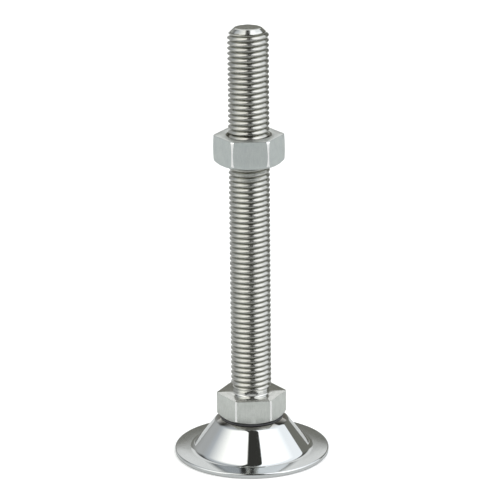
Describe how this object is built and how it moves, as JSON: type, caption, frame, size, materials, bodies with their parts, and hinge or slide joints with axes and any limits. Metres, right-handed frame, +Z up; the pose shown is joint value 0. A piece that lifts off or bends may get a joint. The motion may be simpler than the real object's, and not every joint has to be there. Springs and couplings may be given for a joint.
{
  "type": "furniture leveling foot",
  "caption": "Tilting leveling foot: long threaded spindle with an integral hexagon and a lock nut, swivelling in a polished dished round base.",
  "frame": {"origin": "centre of the base's underside, on the floor", "axes": "+Z up along the upright spindle, -Y towards the middle of a hexagon flat, +X to the right seen from there"},
  "size_m": [0.06, 0.06, 0.1685],
  "materials": {
    "bright_steel": "bright rolled and turned stainless steel, satin",
    "nut_steel": "cold-formed stainless steel, satin flats with a turned face",
    "polished_base": "mirror polished outside",
    "washer_steel": "plain turned",
    "spring_steel": "rolled strip, lightly oiled",
    "ring_steel": "phosphated spring steel",
    "liner_plastic": "moulded slide plastic, matt"
  },
  "bodies": {
    "base": {"base_dome": "polished_base"},
    "liner": {"seat_liner": "liner_plastic"},
    "washers": {"spherical_washer": "washer_steel", "wave_spring": "spring_steel", "flat_washer": "washer_steel"},
    "spindle": {"threaded_spindle": "bright_steel", "retaining_ring": "ring_steel"},
    "nut": {"lock_nut": "nut_steel"}
  },
  "joints": [
    {"name": "base_swivel", "type": "hinge", "parent": "base", "child": "liner", "pos_m": [0, 0, 0], "axis": [0, 0, 1], "continuous": true},
    {"name": "tilt", "type": "hinge", "parent": "liner", "child": "washers", "pos_m": [0, 0, -0.0131], "axis": [0, 1, 0], "range_deg": [-5, 5]},
    {"name": "spindle_turn", "type": "hinge", "parent": "washers", "child": "spindle", "pos_m": [0, 0, 0], "axis": [0, 0, 1], "range_deg": [-7200, 15840]},
    {"name": "nut_travel", "type": "slide", "parent": "washers", "child": "nut", "axis": [0, 0, 1], "range_m": [-0.0885, 0.0405]}
  ],
  "couplings": [
    {"joint": "nut_travel", "follows": "spindle_turn", "m_per_rad": -0.00031831}
  ]
}
